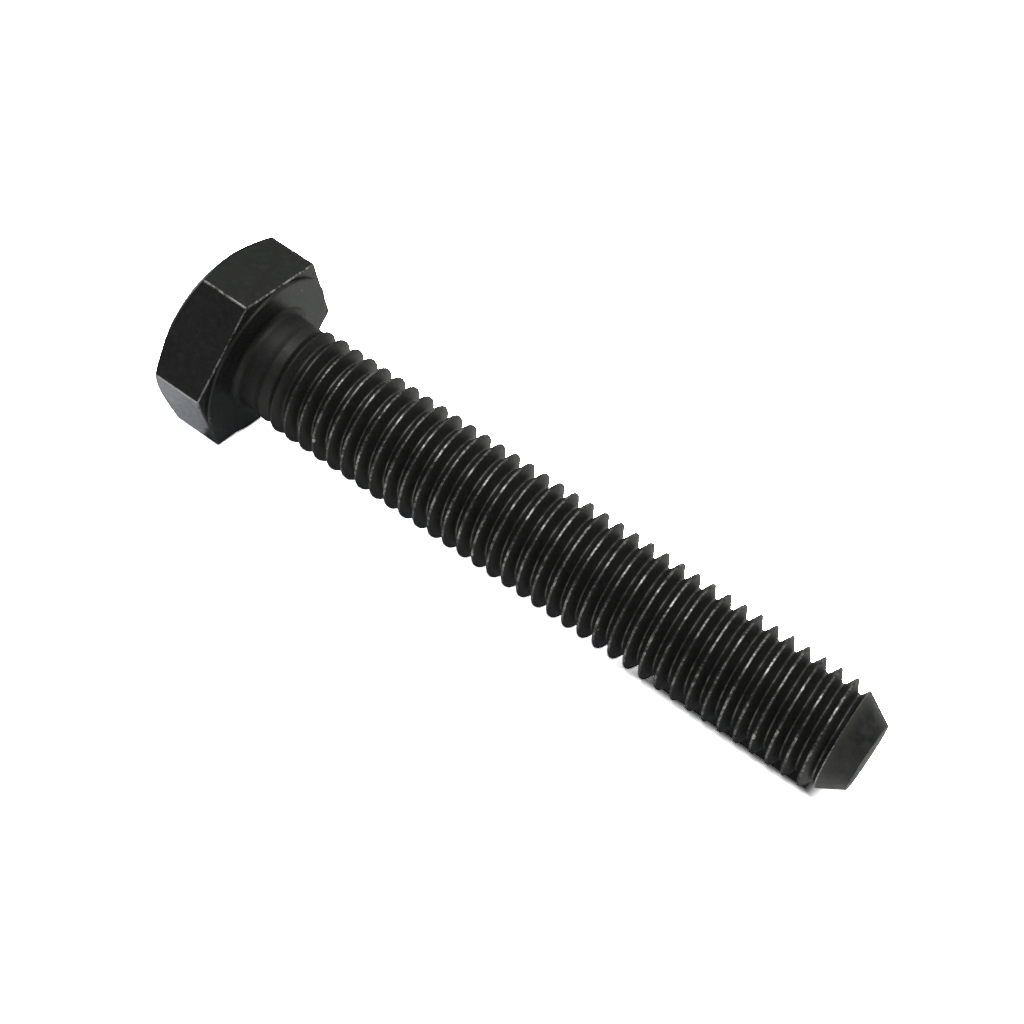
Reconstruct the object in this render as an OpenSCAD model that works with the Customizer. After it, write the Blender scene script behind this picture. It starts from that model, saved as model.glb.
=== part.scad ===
// Fully threaded hex bolt, metric coarse thread, with a washer face and a long conical point.
// The bolt's axis is +X. The origin is the centre of the bearing face, the head lies towards -X,
// and two of the head's six flats face straight up and straight down.

/* [Thread] */
// Thread size, across the crests
thread_d = 8; // [7:0.5:9]
// Pitch, from one crest to the next
pitch = 1.25; // [1:0.05:1.5]
// Where a crest crosses the +Y side, as a share of the pitch
thread_phase = 0.23; // [0:0.01:0.99]
// Straight segments in one turn of the thread
turn_segments = 24; // [16:4:32]

/* [Shank] */
// Length from the bearing face to the end of the point
length = 50; // [20:5:80]
// Plain neck under the head, as left by the blank
neck_d = 7.4; // [7:0.1:7.6]
// Fillet between the neck and the bearing face
fillet_r = 0.5; // [0.3:0.05:0.6]
// Distance from the bearing face to where the thread starts to rise
runout_start = 2; // [1.5:0.1:3]
// Distance from the bearing face to the first crest of full height
full_crest_at = 4; // [3.5:0.1:5]
// Distance from the bearing face to the first root of full depth
full_root_at = 5.6; // [5:0.1:8]

/* [Head] */
// Width across the flats
head_af = 13; // [12:0.5:14]
// Head height, washer face included
head_h = 5.3; // [4:0.1:6]
// Diameter of the flat on top of the head
top_flat_d = 10.8; // [10:0.1:12]
// Angle of the top chamfer to the top flat
chamfer_angle = 30; // [15:1:30]
// Diameter of the raised washer face
washer_face_d = 12.8; // [11.6:0.1:13]
// Height of the raised washer face
washer_face_h = 0.25; // [0.2:0.05:0.6]

/* [Point] */
// Angle of the cone to the bolt's axis
point_angle = 30; // [25:1:45]
// Diameter of the flat end
point_d = 5; // [4:0.1:6]

/* [Hidden] */
$fn = 96;
black_oxide = "#222224";
corner_r = head_af / sqrt(3);
// The chamfer runs out on the corners this far short of the plain hexagon
corner_land = 0.1;
crown_bottom = corner_land + (corner_r - top_flat_d / 2) * tan(chamfer_angle) - head_h;
crest_r = thread_d / 2;
// ISO metric profile: 60 degree flanks, crest flat P/8, root flat P/4, depth 5/8 of the sharp triangle
thread_depth = 5 / 8 * cos(30) * pitch;
root_r = crest_r - thread_depth;
crest_w = pitch / 8;
root_w = pitch / 4;
neck_r = neck_d / 2;
point_r = point_d / 2;
cone_slope = tan(point_angle);
// The thread ends where the cone has cut it down to its root
thread_end = length - (root_r - point_r) / cone_slope;
// A thread line closer than this to either end of the thread is drawn on that end
snap = 0.02;

// The four lines that one turn of the profile is ruled from: [place along the axis, full radius]
profile = [
    [-crest_w / 2, crest_r],
    [crest_w / 2, crest_r],
    [(pitch - root_w) / 2, root_r],
    [(pitch + root_w) / 2, root_r]
];
lines = len(profile);
first_turn = floor(runout_start / pitch) - 2;
last_turn = ceil(thread_end / pitch) + 1;
rows = (last_turn - first_turn) * lines;

function row_x(row) =
    (first_turn + floor(row / lines) + thread_phase) * pitch + profile[row % lines][0];
function rise(x, full_at) = min(1, max(0, (x - runout_start) / (full_at - runout_start)));
// Thread lines grow out of the neck's surface, crests outwards and roots inwards
function faded_r(x, full_r) =
    neck_r + (full_r - neck_r) * rise(x, full_r > neck_r ? full_crest_at : full_root_at);
function cone_at(x) = point_r + (length - x) * cone_slope;
function place(row, step) = row_x(row) + pitch * step / turn_segments;
function line_point(x, full_r, angle) =
    let (r = min(faded_r(x, full_r), cone_at(x)))
    [x, r * cos(angle), r * sin(angle)];
function angle_of(step) = 360 * step / turn_segments;
// Point numbers: the ring at the start, the ring at the end, then the thread lines row by row
function start_id(step) = step % turn_segments;
function end_id(step) = turn_segments + step % turn_segments;
function id(row, step) =
    step == turn_segments ? id(row + lines, 0) :
    place(row, step) < runout_start + snap ? start_id(step) :
    place(row, step) > thread_end - snap ? end_id(step) :
    (row + 2) * turn_segments + step;
function is_face(f) = f[0] != f[1] && f[1] != f[2] && f[0] != f[2];

module along_bolt() rotate([0, 90, 0]) children();

module hex_prism(bottom, top)
    translate([bottom, 0, 0]) along_bolt() rotate([0, 0, 30])
        cylinder(r = corner_r, h = top - bottom, $fn = 6);

// Top of the head, where a cone turns the six corners down
module head_chamfer() {
    cone_r = 2 * corner_r;
    cone_h = (cone_r - top_flat_d / 2) * tan(chamfer_angle);
    color(black_oxide) intersection() {
        hex_prism(-head_h, crown_bottom);
        translate([-head_h, 0, 0]) along_bolt() cylinder(r1 = top_flat_d / 2, r2 = cone_r, h = cone_h);
    }
}

// The plain part of the hexagon, where a spanner grips
module hexagon() {
    color(black_oxide) hex_prism(crown_bottom, -washer_face_h);
}

// Raised ring that bears on the work, around the neck
module washer_face() {
    inner_r = neck_r + fillet_r;
    color(black_oxide) translate([-washer_face_h, 0, 0]) along_bolt() rotate_extrude()
        translate([inner_r, 0]) square([washer_face_d / 2 - inner_r, washer_face_h]);
}

// Plain neck with its fillet, down to the underside of the hexagon
module neck() {
    color(black_oxide) along_bolt() {
        translate([0, 0, -washer_face_h]) cylinder(r = neck_r + fillet_r, h = washer_face_h);
        cylinder(r = neck_r, h = runout_start);
        rotate_extrude() difference() {
            square([neck_r + fillet_r, fillet_r]);
            translate([neck_r + fillet_r, fillet_r]) circle(fillet_r);
        }
    }
}

// Right-hand thread with its core, from the run-out under the head to the root of the point
module threaded_shank() {
    steps = [0:turn_segments - 1];
    points = concat(
        [for (s = steps) [runout_start, neck_r * cos(angle_of(s)), neck_r * sin(angle_of(s))]],
        [for (s = steps) [thread_end, root_r * cos(angle_of(s)), root_r * sin(angle_of(s))]],
        [for (row = [0:rows + lines], s = steps)
            line_point(place(row, s), profile[row % lines][1], angle_of(s))]
    );
    sides = [for (row = [0:rows - 1], s = steps) each [
        [id(row, s), id(row + 1, s), id(row + 1, s + 1)],
        [id(row, s), id(row + 1, s + 1), id(row, s + 1)]
    ]];
    start_cap = [for (s = steps) start_id(s)];
    end_cap = [for (s = [turn_segments - 1:-1:0]) end_id(s)];
    faces = concat([start_cap], [for (f = sides) if (is_face(f)) f], [end_cap]);
    color(black_oxide) polyhedron(points, faces);
}

// The rest of the cone, below the thread's root, and the flat end
module point() {
    color(black_oxide) translate([thread_end, 0, 0]) along_bolt()
        cylinder(r1 = root_r, r2 = point_r, h = length - thread_end);
}

head_chamfer();
hexagon();
washer_face();
neck();
threaded_shank();
point();
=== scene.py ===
import math

import bmesh
import bpy
from mathutils import Matrix, Vector


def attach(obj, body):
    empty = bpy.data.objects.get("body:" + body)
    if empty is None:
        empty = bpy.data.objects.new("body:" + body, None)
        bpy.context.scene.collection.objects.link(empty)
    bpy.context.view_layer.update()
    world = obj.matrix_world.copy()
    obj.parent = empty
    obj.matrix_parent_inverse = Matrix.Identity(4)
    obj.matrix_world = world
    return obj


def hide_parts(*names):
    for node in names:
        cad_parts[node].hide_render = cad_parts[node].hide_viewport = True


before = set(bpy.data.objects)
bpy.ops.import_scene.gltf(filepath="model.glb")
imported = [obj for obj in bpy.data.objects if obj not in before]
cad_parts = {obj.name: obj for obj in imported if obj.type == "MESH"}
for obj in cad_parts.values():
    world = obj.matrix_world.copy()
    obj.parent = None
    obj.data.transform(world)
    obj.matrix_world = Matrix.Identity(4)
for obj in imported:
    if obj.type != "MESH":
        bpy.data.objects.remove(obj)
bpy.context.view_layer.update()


# The head. The end of a cut length of steel wire, upset in a die and trimmed to a hexagon 13 mm across its
# flats. A cone turns the top corners down, and a low washer face bears on the work.
# Medium-carbon steel, blackened in a hot alkaline bath and oiled, and one piece with the shank.
MM = 0.001
ACROSS_FLATS = 13.0
CORNER_R = ACROSS_FLATS / math.sqrt(3)
HEAD_TOP = -5.3
TOP_FLAT_R = 5.4
TOP_CHAMFER = math.tan(math.radians(30))
UNDERSIDE = -0.25
WASHER_R = 6.4
PLAIN_FROM = -4.0
TO_CUT_OFF = 1.0
HEAD_EDGE = 0.1
EDGE_SEGMENTS = 2
# Wear of the head's edges: at the corners, round the foot, and round the foot on the bolt's lower side, drawn
# less worn.
CORNER_WEAR, FOOT_WEAR, LOW_EDGE_WEAR = 1.0, 0.6, 0.15
LOW_EDGE_BELOW = -1.0
HEAD_CREASE = 12
SIDE_CUTS = 23
CIRCLE_CUTS = 144
CUT_WELD = 1e-5
ON_CUT = 1e-4


def radius(v):
    return math.hypot(v.co.y, v.co.z)


def verts_of(made):
    return [v for v in made if isinstance(v, bmesh.types.BMVert)]


def open_edges(made):
    return [e for e in made if isinstance(e, bmesh.types.BMEdge) and e.is_boundary]


def add_circle(bm, x, r, segments):
    """A ring of edges round the bolt's axis, r mm out and x mm along it."""
    turn = Matrix.Translation((x, 0, 0)) @ Matrix.Rotation(math.radians(90), 4, "Y")
    made = bmesh.ops.create_circle(bm, cap_ends=False, radius=r, segments=segments, matrix=turn)
    return list({e for v in made["verts"] for e in v.link_edges})


def cut_cone(bm, x_end, r_end, rake, keep):
    """Cuts the piece to a cone that ends in a flat of radius r_end at x_end. rake is mm along per mm out.
    The mesh is sheared along the axis until the cone is a plane, cut and closed there, and sheared back.
    keep is 1 for a piece that runs from the cut towards the point, and -1 for one that runs to the head."""
    for v in bm.verts:
        v.co.x -= rake * (radius(v) - r_end)
    bmesh.ops.bisect_plane(bm, geom=bm.verts[:] + bm.edges[:] + bm.faces[:], dist=CUT_WELD,
                           plane_co=(x_end, 0, 0), plane_no=(-keep, 0, 0), clear_outer=True)
    rim = [e for e in bm.edges if e.is_boundary and all(abs(v.co.x - x_end) < ON_CUT for v in e.verts)]
    ring = add_circle(bm, x_end, r_end, CIRCLE_CUTS)
    bmesh.ops.triangle_fill(bm, use_beauty=True, edges=rim + ring)
    for v in bm.verts:
        v.co.x += rake * (radius(v) - r_end)
    bmesh.ops.contextual_create(bm, geom=ring)
    return rim, ring


def soften(bm, edges, width, wear_at):
    """Rounds edges, and writes how worn each new face is in the attribute that the steel reads."""
    worn = bm.loops.layers.float.get("worn") or bm.loops.layers.float.new("worn")
    made = bmesh.ops.bevel(bm, geom=edges, offset=width, offset_type="OFFSET", affect="EDGES",
                           segments=EDGE_SEGMENTS, profile=0.5, material=-1, clamp_overlap=True)
    for f in made["faces"]:
        wear = wear_at(f.calc_center_median())
        for loop in f.loops:
            loop[worn] = wear


def head_wear(spot):
    """How worn an edge of the head is: most at the corners, less round the foot, least on the foot's lower
    side, and not at all round the chamfer and the washer face."""
    if spot.x < PLAIN_FROM or math.hypot(spot.y, spot.z) < WASHER_R:
        return 0.0
    if spot.x < UNDERSIDE - 2 * HEAD_EDGE:
        return CORNER_WEAR
    return LOW_EDGE_WEAR if spot.z < LOW_EDGE_BELOW else FOOT_WEAR


def make_piece(bm, name, crease, *nodes):
    """Turns a bmesh in millimetres into a piece that stands for CAD nodes of the bolt.
    Edges that turn more than crease degrees stay sharp."""
    bmesh.ops.remove_doubles(bm, verts=bm.verts[:], dist=ON_CUT)
    bmesh.ops.recalc_face_normals(bm, faces=bm.faces[:])
    for f in bm.faces:
        f.smooth = True
    for e in bm.edges:
        e.smooth = e.calc_face_angle(0.0) < math.radians(crease)
    bmesh.ops.scale(bm, vec=(MM, MM, MM), verts=bm.verts[:])
    mesh = bpy.data.meshes.new(name)
    bm.to_mesh(mesh)
    bm.free()
    piece = bpy.data.objects.new(name, mesh)
    bpy.context.scene.collection.objects.link(piece)
    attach(piece, "root")
    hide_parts(*nodes)
    return piece


# A tube of six sides, made too tall, is cut to the chamfer's cone, and closed at its foot round the washer
# face.
bm = bmesh.new()
foot = add_circle(bm, UNDERSIDE, CORNER_R, 6)
raised = bmesh.ops.extrude_edge_only(bm, edges=foot)["geom"]
bmesh.ops.translate(bm, vec=(HEAD_TOP - UNDERSIDE - TO_CUT_OFF, 0, 0), verts=verts_of(raised))
across = [e for e in bm.edges if abs(e.verts[0].co.x - e.verts[1].co.x) < ON_CUT]
bmesh.ops.subdivide_edges(bm, edges=across, cuts=SIDE_CUTS, use_grid_fill=True)
chamfer_rim, top_ring = cut_cone(bm, HEAD_TOP, TOP_FLAT_R, TOP_CHAMFER, keep=1)
foot = open_edges(bm.edges)
corner_lines = [e for e in bm.edges
                if all(abs(radius(v) - CORNER_R) < ON_CUT for v in e.verts) and e not in foot]
washer_foot = add_circle(bm, UNDERSIDE, WASHER_R, CIRCLE_CUTS)
bmesh.ops.triangle_fill(bm, use_beauty=True, edges=foot + washer_foot)
raised = bmesh.ops.extrude_edge_only(bm, edges=washer_foot)["geom"]
bmesh.ops.translate(bm, vec=(-UNDERSIDE, 0, 0), verts=verts_of(raised))
washer_rim = open_edges(raised)
bmesh.ops.contextual_create(bm, geom=washer_rim)
soften(bm, corner_lines + chamfer_rim + foot + top_ring + washer_rim, HEAD_EDGE, head_wear)
head = make_piece(bm, "head", HEAD_CREASE, "head_chamfer", "hexagon", "washer_face")


def hex_colour(text):
    """A linear colour from an sRGB hex value."""
    parts = [int(text[i:i + 2], 16) / 255 for i in (0, 2, 4)]
    return [c / 12.92 if c <= 0.04045 else ((c + 0.055) / 1.055) ** 2.4 for c in parts] + [1.0]


def add_node(tree, kind, sockets=None, **settings):
    """Adds a node, sets its settings, and sets or links its inputs.
    A node given as a value means its first output."""
    made = tree.nodes.new(kind)
    for key, value in settings.items():
        setattr(made, key, value)
    for key, value in (sockets or {}).items():
        if isinstance(value, bpy.types.Node):
            value = value.outputs[0]
        if isinstance(value, bpy.types.NodeSocket):
            tree.links.new(value, made.inputs[key])
        else:
            made.inputs[key].default_value = value
    return made


# Sizes of what shows in the coat. The finest real grain is a few hundredths of a millimetre, too fine to
# show, so the grit is drawn at 0.07 mm.
CLOUD = 1 / (2.5 * MM)
MOTTLE = 1 / (0.35 * MM)
GRIT = 1 / (0.07 * MM)
COAT_BREAKS = 1 / (0.7 * MM)
HEAD_NICKS_APART = 1 / (1.9 * MM)
COAT_RELIEF = 0.006 * MM
GRIT_SHARE, BUMP_STRENGTH = 0.7, 0.6
SHEEN_SPREAD = 0.07
COAT_DARK, COAT_LIGHT, COAT_MOTTLE, COAT_GRIT = "111211", "191a19", "212221", "2c2d2c"
STEEL_DULL, STEEL_BRIGHT = "8a8b8c", "dededd"
STEEL_SMOOTH, STEEL_ROUGH = 0.24, 0.45


def black_oxide(name, roughness):
    """Oiled black oxide on steel: a near-black coat a micrometre thick, satin where the metal under it is
    smooth. Gives back the material, its nodes, the place on the piece, the coat's shader, and the input that
    says where the coat is gone."""
    material = bpy.data.materials.new(name)
    material.use_nodes = True
    tree = material.node_tree
    tree.nodes.clear()
    place = add_node(tree, "ShaderNodeTexCoord").outputs["Object"]
    cloud = add_node(tree, "ShaderNodeTexNoise", {"Vector": place, "Scale": CLOUD, "Detail": 3.0,
                                                  "Roughness": 0.6})
    mottle = add_node(tree, "ShaderNodeTexNoise", {"Vector": place, "Scale": MOTTLE, "Detail": 3.0,
                                                   "Roughness": 0.6})
    grit = add_node(tree, "ShaderNodeTexNoise", {"Vector": place, "Scale": GRIT, "Detail": 1.0,
                                                 "Roughness": 0.6})
    clouded = add_node(tree, "ShaderNodeMapRange", {"Value": cloud, "From Min": 0.35, "From Max": 0.65})
    mottled = add_node(tree, "ShaderNodeMapRange", {"Value": mottle, "From Min": 0.5, "From Max": 0.75})
    gritty = add_node(tree, "ShaderNodeMapRange", {"Value": grit, "From Min": 0.5, "From Max": 0.8})
    coat = add_node(tree, "ShaderNodeMix", {0: clouded, 6: hex_colour(COAT_DARK), 7: hex_colour(COAT_LIGHT)},
                    data_type="RGBA")
    coat = add_node(tree, "ShaderNodeMix", {0: mottled, 6: coat.outputs[2], 7: hex_colour(COAT_MOTTLE)},
                    data_type="RGBA")
    coat = add_node(tree, "ShaderNodeMix", {0: gritty, 6: coat.outputs[2], 7: hex_colour(COAT_GRIT)},
                    data_type="RGBA")
    relief = add_node(tree, "ShaderNodeMath", {0: grit, 1: GRIT_SHARE, 2: mottle}, operation="MULTIPLY_ADD")
    bump = add_node(tree, "ShaderNodeBump", {"Height": relief, "Distance": COAT_RELIEF,
                                             "Strength": BUMP_STRENGTH})
    sheen = add_node(tree, "ShaderNodeMapRange", {"Value": mottle, "From Min": 0.3, "From Max": 0.7,
                                                  "To Min": roughness - SHEEN_SPREAD,
                                                  "To Max": roughness + SHEEN_SPREAD})
    oxide = add_node(tree, "ShaderNodeBsdfPrincipled", {"Base Color": coat.outputs[2], "Metallic": 0.0,
                                                        "Roughness": sheen, "Normal": bump})
    rubbed = add_node(tree, "ShaderNodeMix", {0: grit, 6: hex_colour(STEEL_DULL),
                                              7: hex_colour(STEEL_BRIGHT)}, data_type="RGBA")
    scratched = add_node(tree, "ShaderNodeMapRange", {"Value": grit, "From Min": 0.3, "From Max": 0.7,
                                                      "To Min": STEEL_SMOOTH, "To Max": STEEL_ROUGH})
    bare = add_node(tree, "ShaderNodeBsdfPrincipled", {"Base Color": rubbed.outputs[2], "Metallic": 1.0,
                                                       "Roughness": scratched, "Normal": bump})
    both = add_node(tree, "ShaderNodeMixShader", {1: oxide, 2: bare})
    add_node(tree, "ShaderNodeOutputMaterial", {"Surface": both})
    return material, tree, place, oxide, both.inputs[0]


# Hot black oxide on a forged and trimmed head: smooth satin near-black faces, with thin broken silver edges
# and a few bright nicks. A nick's size is a share of the distance between nicks.
HEAD_SHEEN = 0.36
EDGE_BREAKS_LESS = 0.16
EDGE_WEAR_MIN = 0.06
ANY_WEAR = 0.01
HEAD_NICKED_ABOVE, HEAD_NICK_SIZE, HEAD_NICK_WEAR = 0.78, 0.05, 0.35
material, tree, place, _, gone_at = black_oxide("black_oxide_on_forged_head", HEAD_SHEEN)
worn = add_node(tree, "ShaderNodeAttribute", attribute_name="worn").outputs["Fac"]
breaks = add_node(tree, "ShaderNodeTexNoise", {"Vector": place, "Scale": COAT_BREAKS, "Detail": 5.0,
                                               "Roughness": 0.75})
broken = add_node(tree, "ShaderNodeMath", {0: worn, 1: EDGE_BREAKS_LESS, 2: breaks}, operation="MULTIPLY_ADD")
broken = add_node(tree, "ShaderNodeMapRange", {"Value": broken, "From Min": 0.55, "From Max": 0.66,
                                               "To Min": EDGE_WEAR_MIN})
on_edge = add_node(tree, "ShaderNodeMath", {0: worn, 1: ANY_WEAR}, operation="GREATER_THAN")
wear = add_node(tree, "ShaderNodeMath", {0: on_edge, 1: broken}, operation="MULTIPLY")
nicks = add_node(tree, "ShaderNodeTexVoronoi", {"Vector": place, "Scale": HEAD_NICKS_APART})
pick = add_node(tree, "ShaderNodeSeparateColor", {0: nicks.outputs["Color"]})
nick_size = add_node(tree, "ShaderNodeMapRange", {"Value": pick, "From Min": HEAD_NICKED_ABOVE,
                                                  "From Max": 1.0, "To Max": HEAD_NICK_SIZE})
nick = add_node(tree, "ShaderNodeMath", {0: nicks.outputs["Distance"], 1: nick_size}, operation="LESS_THAN")
wear = add_node(tree, "ShaderNodeMath", {0: nick, 1: HEAD_NICK_WEAR, 2: wear}, operation="MULTIPLY_ADD")
tree.links.new(wear.outputs[0], gone_at)
head.data.materials.append(material)


# The shank. The rest of the wire, drawn to 7.4 mm and rolled between flat dies, which press the roots in and
# squeeze the crests up to an M8 thread of 1.25 mm pitch. The rolls leave a plain neck with a fillet under the
# head, and the end is cut to a cone before rolling, so that a nut starts easily.
PITCH = 1.25
PHASE = 0.23
STEPS = 96
TURNS = 41
TURN_WELD = 3e-3
HALF_ANGLE = math.radians(30)
CREST_R = 4.0
CREST_HALF = PITCH / 16
CREST_EDGE, CREST_SEGMENTS = 0.035, 3
ROOT_ROUND, ROOT_SEGMENTS = 0.144 * PITCH, 6
NECK_R = 3.7
SEAT_R = 4.2
LENGTH = 50.0
POINT_R = 2.5
POINT_ANGLE = math.radians(30)
POINT_RAKE = -1 / math.tan(POINT_ANGLE)
POINT_EDGE, POINT_WEAR = 0.05, 0.5
FILLET = SEAT_R - NECK_R
FILLET_RINGS = 8
RISE_FROM, CREST_FULL_AT, ROOT_FULL_AT = 1.3, 4.0, 5.6
LAST_CREST = 38
LAST_GROOVE, GROOVE_FADE = 37.75, 0.3
SHANK_CREASE = 25

# One pitch of the thread's outline, sharp at first and then rounded at the root and at the crest's edges, is
# wound one turn along the helix, and the turn is repeated.
bm = bmesh.new()
flank_end_r = CREST_R - 7 / 8 * math.cos(HALF_ANGLE) * PITCH
wire_start = (PHASE - 1) * PITCH
wire = [(0, CREST_R), (CREST_HALF, CREST_R), (PITCH / 2, flank_end_r), (PITCH - CREST_HALF, CREST_R),
        (PITCH, CREST_R)]
knots = [bm.verts.new((wire_start + x, r, 0)) for x, r in wire]
for a, b in zip(knots, knots[1:]):
    bm.edges.new((a, b))
root_setback = ROOT_ROUND / math.tan(HALF_ANGLE)
for corners, width, segments in (([knots[2]], root_setback, ROOT_SEGMENTS),
                                 ([knots[1], knots[3]], CREST_EDGE, CREST_SEGMENTS)):
    bmesh.ops.bevel(bm, geom=corners, offset=width, offset_type="OFFSET", affect="VERTICES",
                    segments=segments, profile=0.5, material=-1, clamp_overlap=True)
bmesh.ops.spin(bm, geom=bm.verts[:] + bm.edges[:], cent=(0, 0, 0), axis=(1, 0, 0),
               dvec=(PITCH / STEPS, 0, 0), angle=math.tau, steps=STEPS, use_merge=False)
one_turn = bm.verts[:] + bm.edges[:] + bm.faces[:]
for turn in range(1, TURNS):
    made = bmesh.ops.duplicate(bm, geom=one_turn)["geom"]
    bmesh.ops.translate(bm, vec=(turn * PITCH, 0, 0), verts=verts_of(made))
bmesh.ops.remove_doubles(bm, verts=bm.verts[:], dist=TURN_WELD)
# The thread rises out of the neck, and the groove past its last crest is filled, where the cone takes over.
for v in bm.verts:
    r = radius(v)
    full_at = CREST_FULL_AT if r > NECK_R else ROOT_FULL_AT
    rise = min(1, max(0, (v.co.x - RISE_FROM) / (full_at - RISE_FROM)))
    faded = NECK_R + (r - NECK_R) * rise * rise * (3 - 2 * rise)
    turned = math.atan2(v.co.z, v.co.y) % math.tau / math.tau
    groove = math.floor(v.co.x / PITCH - turned - PHASE) + turned
    faded += (CREST_R - faded) * min(1, max(0, (groove - LAST_GROOVE) / GROOVE_FADE))
    v.co.y *= faded / r
    v.co.z *= faded / r
# The neck is cut square where its fillet starts, and the fillet flares out from there to the head.
bmesh.ops.bisect_plane(bm, geom=bm.verts[:] + bm.edges[:] + bm.faces[:], dist=CUT_WELD,
                       plane_co=(FILLET, 0, 0), plane_no=(-1, 0, 0), clear_outer=True)
neck_end = [e for e in bm.edges if e.is_boundary and all(abs(v.co.x - FILLET) < ON_CUT for v in e.verts)]
point_ring = cut_cone(bm, LENGTH, POINT_R, POINT_RAKE, keep=-1)[1]
for i in range(1, FILLET_RINGS + 1):
    turn = math.radians(90 * i / FILLET_RINGS)
    made = bmesh.ops.extrude_edge_only(bm, edges=neck_end)["geom"]
    neck_end = open_edges(made)
    for v in verts_of(made):
        grow = (NECK_R + FILLET * (1 - math.cos(turn))) / radius(v)
        v.co = (FILLET * (1 - math.sin(turn)), v.co.y * grow, v.co.z * grow)
bmesh.ops.contextual_create(bm, geom=neck_end)
soften(bm, point_ring, POINT_EDGE, lambda spot: POINT_WEAR)
shank = make_piece(bm, "shank", SHANK_CREASE, "neck", "threaded_shank", "point")

# Hot black oxide on a rolled thread: a little duller than on the head, with broken silver lines on the
# crests, fainter ones in the burnished roots, and a few bright nicks. The lines start past the run-out. Those
# on the crests are dimmed on the lower side by painted shade, and those in the roots stop at the cone.
SHANK_SHEEN = 0.42
WORN_FROM, WORN_FULL = 4.2 * MM, 5.6 * MM
LOWER_SIDE, UPPER_SIDE = -3.0 * MM, 0.4 * MM
CREST_LINES_IN_PAINTED_SHADE = 0.2
CREST_BARE_FROM, CREST_BARE_AT = 3.97 * MM, 4.0 * MM
CREST_SWAY = 0.16 * MM
CREST_RAGGED = 1 / (0.3 * MM)
CREST_STRETCHES = 1 / (0.9 * MM)
CREST_GAPS = 1 / (0.2 * MM)
STRETCH_MIN, GAP_MIN = 0.1, 0.3
ROOT_BARE_FROM, ROOT_BARE_AT = 3.24 * MM, 3.215 * MM
ROOT_WEAR_UNTIL, ROOT_WEAR_END = 48.2 * MM, 48.4 * MM
ROOT_STRETCHES = 1 / (0.6 * MM)
ROOT_WEAR_MIN, ROOT_WEAR_MAX = 0.06, 0.32
NICKS_APART = 1 / (1.3 * MM)
NICKED_ABOVE, NICK_SIZE = 0.72, 0.1
DENTS_APART = 1 / (1.5 * MM)
DENTED_ABOVE, DENT_SIZE = 0.7, 0.26
DENTED_FROM = 3.88 * MM
material, tree, place, oxide, gone_at = black_oxide("black_oxide_on_rolled_thread", SHANK_SHEEN)
spot = add_node(tree, "ShaderNodeSeparateXYZ", {0: place})
across = add_node(tree, "ShaderNodeCombineXYZ", {"Y": spot.outputs["Y"], "Z": spot.outputs["Z"]})
out = add_node(tree, "ShaderNodeVectorMath", {0: across}, operation="LENGTH").outputs["Value"]
on_thread = add_node(tree, "ShaderNodeMapRange", {"Value": spot.outputs["X"], "From Min": WORN_FROM,
                                                  "From Max": WORN_FULL})
before_point = add_node(tree, "ShaderNodeMapRange", {"Value": spot.outputs["X"], "From Min": ROOT_WEAR_END,
                                                     "From Max": ROOT_WEAR_UNTIL})
# Painted shade: the crest lines are drawn fainter towards the bolt's lower side.
painted_shade_on_lower_crests = add_node(tree, "ShaderNodeMapRange", {"Value": spot.outputs["Z"], "From Min": LOWER_SIDE,
                                                   "From Max": UPPER_SIDE, "To Min": CREST_LINES_IN_PAINTED_SHADE})
ragged = add_node(tree, "ShaderNodeTexNoise", {"Vector": place, "Scale": CREST_RAGGED, "Detail": 3.0,
                                               "Roughness": 0.6})
ragged_out = add_node(tree, "ShaderNodeMath", {0: ragged, 1: CREST_SWAY, 2: out}, operation="MULTIPLY_ADD")
crest = add_node(tree, "ShaderNodeMapRange", {"Value": ragged_out,
                                              "From Min": CREST_BARE_FROM + CREST_SWAY / 2,
                                              "From Max": CREST_BARE_AT + CREST_SWAY / 2})
stretches = add_node(tree, "ShaderNodeTexNoise", {"Vector": place, "Scale": CREST_STRETCHES, "Detail": 3.0,
                                                  "Roughness": 0.6})
stretches = add_node(tree, "ShaderNodeMapRange", {"Value": stretches, "From Min": 0.4, "From Max": 0.62,
                                                  "To Min": STRETCH_MIN})
gaps = add_node(tree, "ShaderNodeTexNoise", {"Vector": place, "Scale": CREST_GAPS, "Detail": 1.0,
                                             "Roughness": 0.6})
gaps = add_node(tree, "ShaderNodeMapRange", {"Value": gaps, "From Min": 0.35, "From Max": 0.55,
                                             "To Min": GAP_MIN})
crest = add_node(tree, "ShaderNodeMath", {0: crest, 1: stretches}, operation="MULTIPLY")
crest = add_node(tree, "ShaderNodeMath", {0: crest, 1: gaps}, operation="MULTIPLY")
crest = add_node(tree, "ShaderNodeMath", {0: crest, 1: painted_shade_on_lower_crests}, operation="MULTIPLY")
root = add_node(tree, "ShaderNodeMapRange", {"Value": out, "From Min": ROOT_BARE_FROM,
                                             "From Max": ROOT_BARE_AT})
burnished = add_node(tree, "ShaderNodeTexNoise", {"Vector": place, "Scale": ROOT_STRETCHES, "Detail": 3.0,
                                                  "Roughness": 0.6})
burnished = add_node(tree, "ShaderNodeMapRange", {"Value": burnished, "From Min": 0.4, "From Max": 0.6,
                                                  "To Min": ROOT_WEAR_MIN, "To Max": ROOT_WEAR_MAX})
root = add_node(tree, "ShaderNodeMath", {0: root, 1: burnished}, operation="MULTIPLY")
root = add_node(tree, "ShaderNodeMath", {0: root, 1: before_point}, operation="MULTIPLY")
nicks = add_node(tree, "ShaderNodeTexVoronoi", {"Vector": place, "Scale": NICKS_APART})
pick = add_node(tree, "ShaderNodeSeparateColor", {0: nicks.outputs["Color"]})
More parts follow.
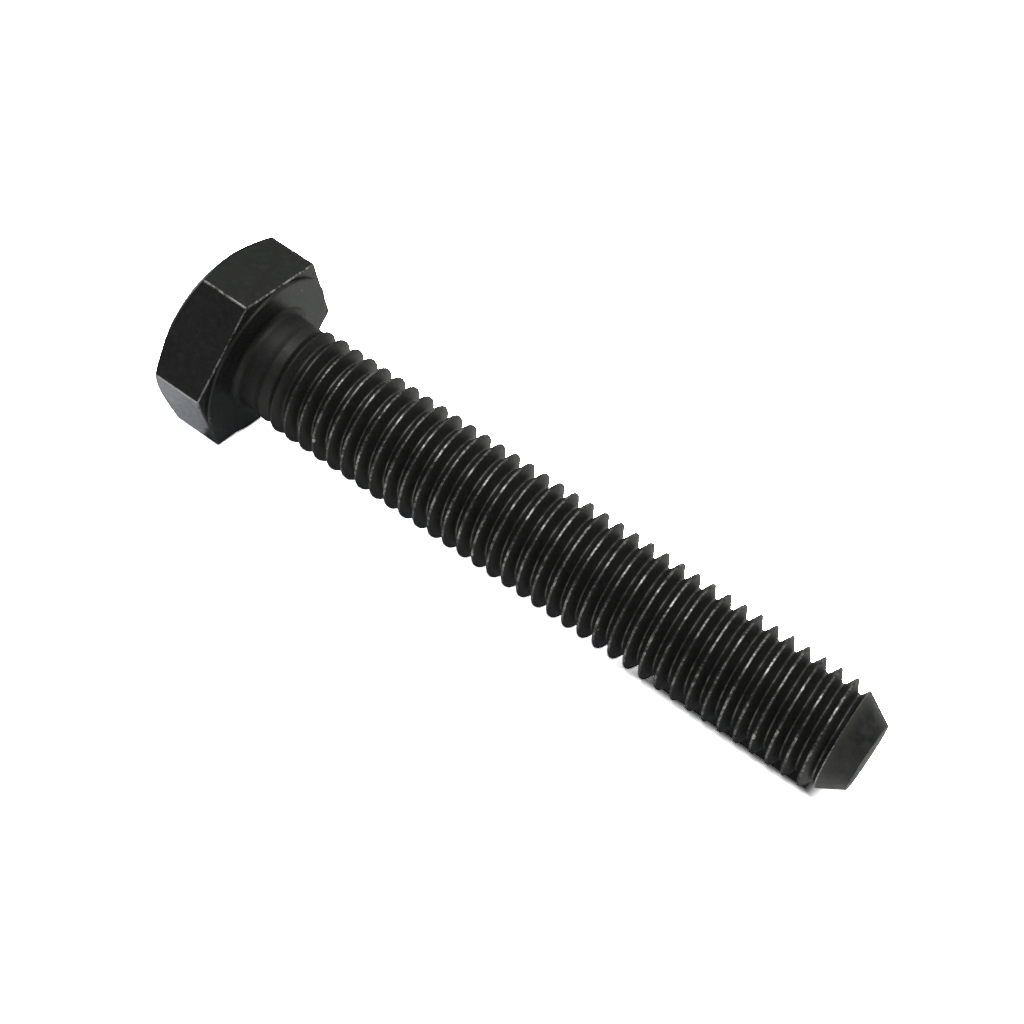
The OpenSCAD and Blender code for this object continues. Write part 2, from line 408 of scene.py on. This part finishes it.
nick_size = add_node(tree, "ShaderNodeMapRange", {"Value": pick, "From Min": NICKED_ABOVE,
                                                  "From Max": 1.0, "To Max": NICK_SIZE})
nick = add_node(tree, "ShaderNodeMath", {0: nicks.outputs["Distance"], 1: nick_size}, operation="LESS_THAN")
dents = add_node(tree, "ShaderNodeTexVoronoi", {"Vector": place, "Scale": DENTS_APART})
pick = add_node(tree, "ShaderNodeSeparateColor", {0: dents.outputs["Color"]})
dent_size = add_node(tree, "ShaderNodeMapRange", {"Value": pick, "From Min": DENTED_ABOVE,
                                                  "From Max": 1.0, "To Max": DENT_SIZE})
dent = add_node(tree, "ShaderNodeMath", {0: dents.outputs["Distance"], 1: dent_size}, operation="LESS_THAN")
on_edge = add_node(tree, "ShaderNodeMath", {0: out, 1: DENTED_FROM}, operation="GREATER_THAN")
dent = add_node(tree, "ShaderNodeMath", {0: dent, 1: on_edge}, operation="MULTIPLY")
nick = add_node(tree, "ShaderNodeMath", {0: nick, 1: dent}, operation="MAXIMUM")
lines = add_node(tree, "ShaderNodeMath", {0: crest, 1: root}, operation="MAXIMUM")
lines = add_node(tree, "ShaderNodeMath", {0: lines, 1: nick}, operation="MAXIMUM")
lines = add_node(tree, "ShaderNodeMath", {0: lines, 1: on_thread}, operation="MULTIPLY")
worn = add_node(tree, "ShaderNodeAttribute", attribute_name="worn").outputs["Fac"]
worn = add_node(tree, "ShaderNodeMath", {0: worn, 1: stretches}, operation="MULTIPLY")
wear = add_node(tree, "ShaderNodeMath", {0: lines, 1: worn}, operation="MAXIMUM")

# The rim, where the thread ends in the cone, is rubbed bright. It moves along the bolt as it goes round.
FLANK_SLOPE, POINT_SLOPE = math.tan(math.radians(60)), math.tan(POINT_ANGLE)
RIM_TURN = PITCH * FLANK_SLOPE / (FLANK_SLOPE + POINT_SLOPE)
RIM_START = ((POINT_R - CREST_R + LENGTH * POINT_SLOPE) / (FLANK_SLOPE + POINT_SLOPE)
             + (LAST_CREST + PHASE - CREST_HALF / PITCH) * RIM_TURN)
RIM_SHIFT, RIM_FADE, RIM_FULL = 0.02 * MM, 0.07 * MM, 0.03 * MM
RIM_WEAR = 0.8
angle = add_node(tree, "ShaderNodeMath", {0: spot.outputs["Z"], 1: spot.outputs["Y"]}, operation="ARCTAN2")
angle = add_node(tree, "ShaderNodeMath", {0: angle, 1: 1 / math.tau}, operation="MULTIPLY")
turned = add_node(tree, "ShaderNodeMath", {0: angle}, operation="FRACT")
rim_at = add_node(tree, "ShaderNodeMath", {0: turned, 1: RIM_TURN * MM, 2: RIM_START * MM},
                  operation="MULTIPLY_ADD")
past_rim = add_node(tree, "ShaderNodeMath", {0: spot.outputs["X"], 1: rim_at}, operation="SUBTRACT")
off_rim = add_node(tree, "ShaderNodeMath", {0: past_rim, 1: RIM_SHIFT}, operation="SUBTRACT")
off_rim = add_node(tree, "ShaderNodeMath", {0: off_rim}, operation="ABSOLUTE")
rim = add_node(tree, "ShaderNodeMapRange", {"Value": off_rim, "From Min": RIM_FADE, "From Max": RIM_FULL,
                                            "To Max": RIM_WEAR})
rim = add_node(tree, "ShaderNodeMath", {0: rim, 1: gaps}, operation="MULTIPLY")
wear = add_node(tree, "ShaderNodeMath", {0: wear, 1: rim}, operation="MAXIMUM")
tree.links.new(wear.outputs[0], gone_at)

# The cone was cut by a tool, not pressed, and its coat is a little greyer, most of all next to the rim.
CONE_FULL = 0.04 * MM
BY_RIM_FROM, BY_RIM_FULL = 0.8 * MM, 0.05 * MM
CUT_COAT, CUT_COAT_GREY = "1b1c1e", "3b3c35"
PATCH_MAX = 0.6
on_cone = add_node(tree, "ShaderNodeMapRange", {"Value": past_rim, "From Min": 0.0, "From Max": CONE_FULL,
                                                "To Max": 1.0})
near_rim = add_node(tree, "ShaderNodeMapRange", {"Value": past_rim, "From Min": BY_RIM_FROM,
                                                 "From Max": BY_RIM_FULL})
patches = add_node(tree, "ShaderNodeTexNoise", {"Vector": place, "Scale": CREST_STRETCHES, "Detail": 4.0,
                                                "Roughness": 0.6})
patches = add_node(tree, "ShaderNodeMapRange", {"Value": patches, "From Min": 0.4, "From Max": 0.62,
                                                "To Max": PATCH_MAX})
greyer = add_node(tree, "ShaderNodeMath", {0: near_rim, 1: patches}, operation="MAXIMUM")
cut_coat = add_node(tree, "ShaderNodeMix", {0: greyer, 6: hex_colour(CUT_COAT), 7: hex_colour(CUT_COAT_GREY)},
                    data_type="RGBA")
rolled_coat = oxide.inputs["Base Color"].links[0].from_socket
coat = add_node(tree, "ShaderNodeMix", {0: on_cone, 6: rolled_coat, 7: cut_coat.outputs[2]}, data_type="RGBA")
tree.links.new(coat.outputs[2], oxide.inputs["Base Color"])

# The neck keeps the dull skin of the wire, which the rolls never touched.
UNROLLED_TO, UNROLLED_BELOW = 4.0 * MM, 2.2 * MM
NECK_ROUGHER = 0.1
unrolled = add_node(tree, "ShaderNodeMapRange", {"Value": spot.outputs["X"], "From Min": UNROLLED_TO,
                                                 "From Max": UNROLLED_BELOW, "To Max": NECK_ROUGHER})
rolled_sheen = oxide.inputs["Roughness"].links[0].from_socket
sheen = add_node(tree, "ShaderNodeMath", {0: rolled_sheen, 1: unrolled}, operation="ADD")
tree.links.new(sheen.outputs[0], oxide.inputs["Roughness"])
shank.data.materials.append(material)


# The floor. A sheet of white paper under the bolt, which lies on the edge of its head and its last threads.
# The camera sees the paper burnt out to white, but for a thin dark line of painted contact shadow where the
# threads come down to it.
# To the bolt it is a plain pale sheet that glows faintly.
FLOOR_UNDER_HEAD = -6.53
FLOOR_RISE, FLOOR_RUN = 2.5, 48.4
FLOOR_SIZE = 1.5
PAPER_GREY, PAPER_GLOW, GLOW_STRENGTH = "bcbdb9", "e6eeff", 0.065
# Gains of the paper as the camera sees it: burnt out, and in the painted contact shadow, placed and sized
# below.
BURNT_OUT, PAINTED_SHADOW_GAIN = 25.0, 0.35
SHADE_FROM, SHADE_FULL = 31 * MM, 36 * MM
SHADE_TAPER = -0.062
SHADE_WIDTH = 0.4 * MM
SHADE_EDGE = 1.0 * MM
SHADE_PAST, SHADE_END = 47.5 * MM, 49.3 * MM

bm = bmesh.new()
slope = math.atan(FLOOR_RISE / FLOOR_RUN)
lay = Matrix.Translation((0, 0, FLOOR_UNDER_HEAD * MM)) @ Matrix.Rotation(-slope, 4, "Y")
bmesh.ops.create_grid(bm, x_segments=2, y_segments=2, size=FLOOR_SIZE, matrix=lay)
mesh = bpy.data.meshes.new("floor")
bm.to_mesh(mesh)
bm.free()
floor = bpy.data.objects.new("floor", mesh)
bpy.context.scene.collection.objects.link(floor)

# Matt white paper: even, with no gloss. The dark line is painted contact shadow: a strip under the bolt
# where the paper is drawn far darker, that widens towards the point and fades out at its edges and ends.
paper = bpy.data.materials.new("white_paper_with_painted_shadow")
paper.use_nodes = True
tree = paper.node_tree
tree.nodes.clear()
place = add_node(tree, "ShaderNodeTexCoord").outputs["Object"]
spot = add_node(tree, "ShaderNodeSeparateXYZ", {0: place})
beside = add_node(tree, "ShaderNodeMath", {0: spot.outputs["Y"]}, operation="ABSOLUTE")
from_shade = add_node(tree, "ShaderNodeMath", {0: spot.outputs["X"], 1: SHADE_TAPER, 2: beside},
                      operation="MULTIPLY_ADD")
shade_rim = SHADE_FROM * SHADE_TAPER + SHADE_WIDTH
outside = add_node(tree, "ShaderNodeMapRange", {"Value": from_shade, "From Min": shade_rim,
                                                "From Max": shade_rim + SHADE_EDGE},
                   interpolation_type="SMOOTHSTEP")
before = add_node(tree, "ShaderNodeMapRange", {"Value": spot.outputs["X"], "From Min": SHADE_FULL,
                                               "From Max": SHADE_FROM}, interpolation_type="SMOOTHSTEP")
past = add_node(tree, "ShaderNodeMapRange", {"Value": spot.outputs["X"], "From Min": SHADE_PAST,
                                             "From Max": SHADE_END}, interpolation_type="SMOOTHSTEP")
lit = add_node(tree, "ShaderNodeMath", {0: outside, 1: before}, operation="MAXIMUM")
lit = add_node(tree, "ShaderNodeMath", {0: lit, 1: past}, operation="MAXIMUM")
# Painted shadow: inside the strip the paper is drawn at a small gain, outside it burnt out to white.
gain = add_node(tree, "ShaderNodeMapRange", {"Value": lit, "To Min": PAINTED_SHADOW_GAIN, "To Max": BURNT_OUT})
gain = add_node(tree, "ShaderNodeCombineColor", {0: gain, 1: gain, 2: gain})
seen_paper_with_painted_shadow = add_node(tree, "ShaderNodeBsdfDiffuse", {"Color": gain})
felt_paper = add_node(tree, "ShaderNodeBsdfDiffuse", {"Color": hex_colour(PAPER_GREY)})
felt_glow = add_node(tree, "ShaderNodeEmission", {"Color": hex_colour(PAPER_GLOW), "Strength": GLOW_STRENGTH})
felt = add_node(tree, "ShaderNodeAddShader", {0: felt_paper, 1: felt_glow})
seen = add_node(tree, "ShaderNodeLightPath").outputs["Is Camera Ray"]
both = add_node(tree, "ShaderNodeMixShader", {0: seen, 1: felt, 2: seen_paper_with_painted_shadow})
add_node(tree, "ShaderNodeOutputMaterial", {"Surface": both})
mesh.materials.append(paper)


# The light. A large soft box over the bolt and two weaker ones, behind it and off the end of its head, in a
# dim grey studio with a white backdrop. Small cards under the head's lower flat and under the point light
# them from below, and the room's own light, which leaves no glint, fills in.
MID_BOLT = (15, 0, 0)
ROOM_GREY, BACKDROP_WHITE, BACKDROP_STRENGTH = "6c6c6c", "ffffff", 1.2
ROOM_LIGHT_STRENGTH, ROOM_LIGHT_SPREAD, ROOM_LIGHT_TILT = 1.8, math.radians(50), math.radians(-12)
scene = bpy.context.scene
scene.view_settings.view_transform = "Standard"
scene.view_settings.look = "None"
world = bpy.data.worlds.new("studio")
scene.world = world
world.use_nodes = True
tree = world.node_tree
tree.nodes.clear()
room = add_node(tree, "ShaderNodeBackground", {"Color": hex_colour(ROOM_GREY), "Strength": 1.0})
backdrop = add_node(tree, "ShaderNodeBackground", {"Color": hex_colour(BACKDROP_WHITE),
                                                   "Strength": BACKDROP_STRENGTH})
seen = add_node(tree, "ShaderNodeLightPath").outputs["Is Camera Ray"]
both = add_node(tree, "ShaderNodeMixShader", {0: seen, 1: room, 2: backdrop})
add_node(tree, "ShaderNodeOutputWorld", {"Surface": both})


def soft_box(name, place, aim, size, radiance, colour):
    """A soft box, as bright all over as radiance says. Its place, aim and size are in millimetres."""
    lamp = bpy.data.lights.new(name, "AREA")
    lamp.shape = "RECTANGLE"
    lamp.size, lamp.size_y = size[0] * MM, size[1] * MM
    lamp.energy = radiance * math.pi * lamp.size * lamp.size_y
    lamp.color = hex_colour(colour)[:3]
    made = bpy.data.objects.new(name, lamp)
    made.location = Vector(place) * MM
    made.rotation_mode = "QUATERNION"
    made.rotation_quaternion = (Vector(aim) - Vector(place)).to_track_quat("-Z", "Y")
    scene.collection.objects.link(made)
    return made


soft_box("overhead_box", place=(0, -20, 240), aim=MID_BOLT, size=(200, 180), radiance=2.45, colour="fdfdf8")
soft_box("back_box", place=(45, 230, 200), aim=MID_BOLT, size=(340, 160), radiance=0.42, colour="f6fdf2")
soft_box("far_box", place=(-230, 130, 90), aim=MID_BOLT, size=(160, 120), radiance=0.6, colour="fdfdf8")
head_card = soft_box("head_card", place=(-4, -5.2, -6.62), aim=(-4, -5.2, 0), size=(7, 7), radiance=0.75,
                     colour="eef4ff")
head_card.visible_camera = False
point_card = soft_box("point_card", place=(50.5, -3.5, -3.85), aim=(50.5, -3.5, 0), size=(5, 5), radiance=0.3,
                      colour="fdfdf4")
point_card.visible_camera = False
sun = bpy.data.lights.new("room_light", "SUN")
sun.energy, sun.angle = ROOM_LIGHT_STRENGTH, ROOM_LIGHT_SPREAD
room_light = bpy.data.objects.new("room_light", sun)
room_light.rotation_euler = (ROOM_LIGHT_TILT, 0, 0)
room_light.visible_glossy = False
scene.collection.objects.link(room_light)


# The camera. A short telephoto lens 143 mm from the bolt, above it and to one side, rolled so that the bolt
# runs down from the upper left.
LENS, SENSOR = 73.91, 36
AIM = Vector((21.23, -0.05, 0.73))
AZIMUTH, ELEVATION, ROLL = math.radians(20.69), math.radians(43.1), math.radians(19.25)
DISTANCE = 142.67
NEAREST, FURTHEST = 5 * MM, 5
camera = bpy.data.objects.new("camera", bpy.data.cameras.new("camera"))
back = Vector((math.sin(AZIMUTH) * math.cos(ELEVATION), -math.cos(AZIMUTH) * math.cos(ELEVATION),
               math.sin(ELEVATION)))
camera.data.lens = LENS
camera.data.sensor_width = SENSOR
camera.data.clip_start, camera.data.clip_end = NEAREST, FURTHEST
camera.location = (AIM + back * DISTANCE) * MM
camera.rotation_mode = "QUATERNION"
rolled = Matrix.Rotation(ROLL, 3, "Z").to_quaternion()
camera.rotation_quaternion = (-back).to_track_quat("-Z", "Y") @ rolled
scene.collection.objects.link(camera)
scene.camera = camera
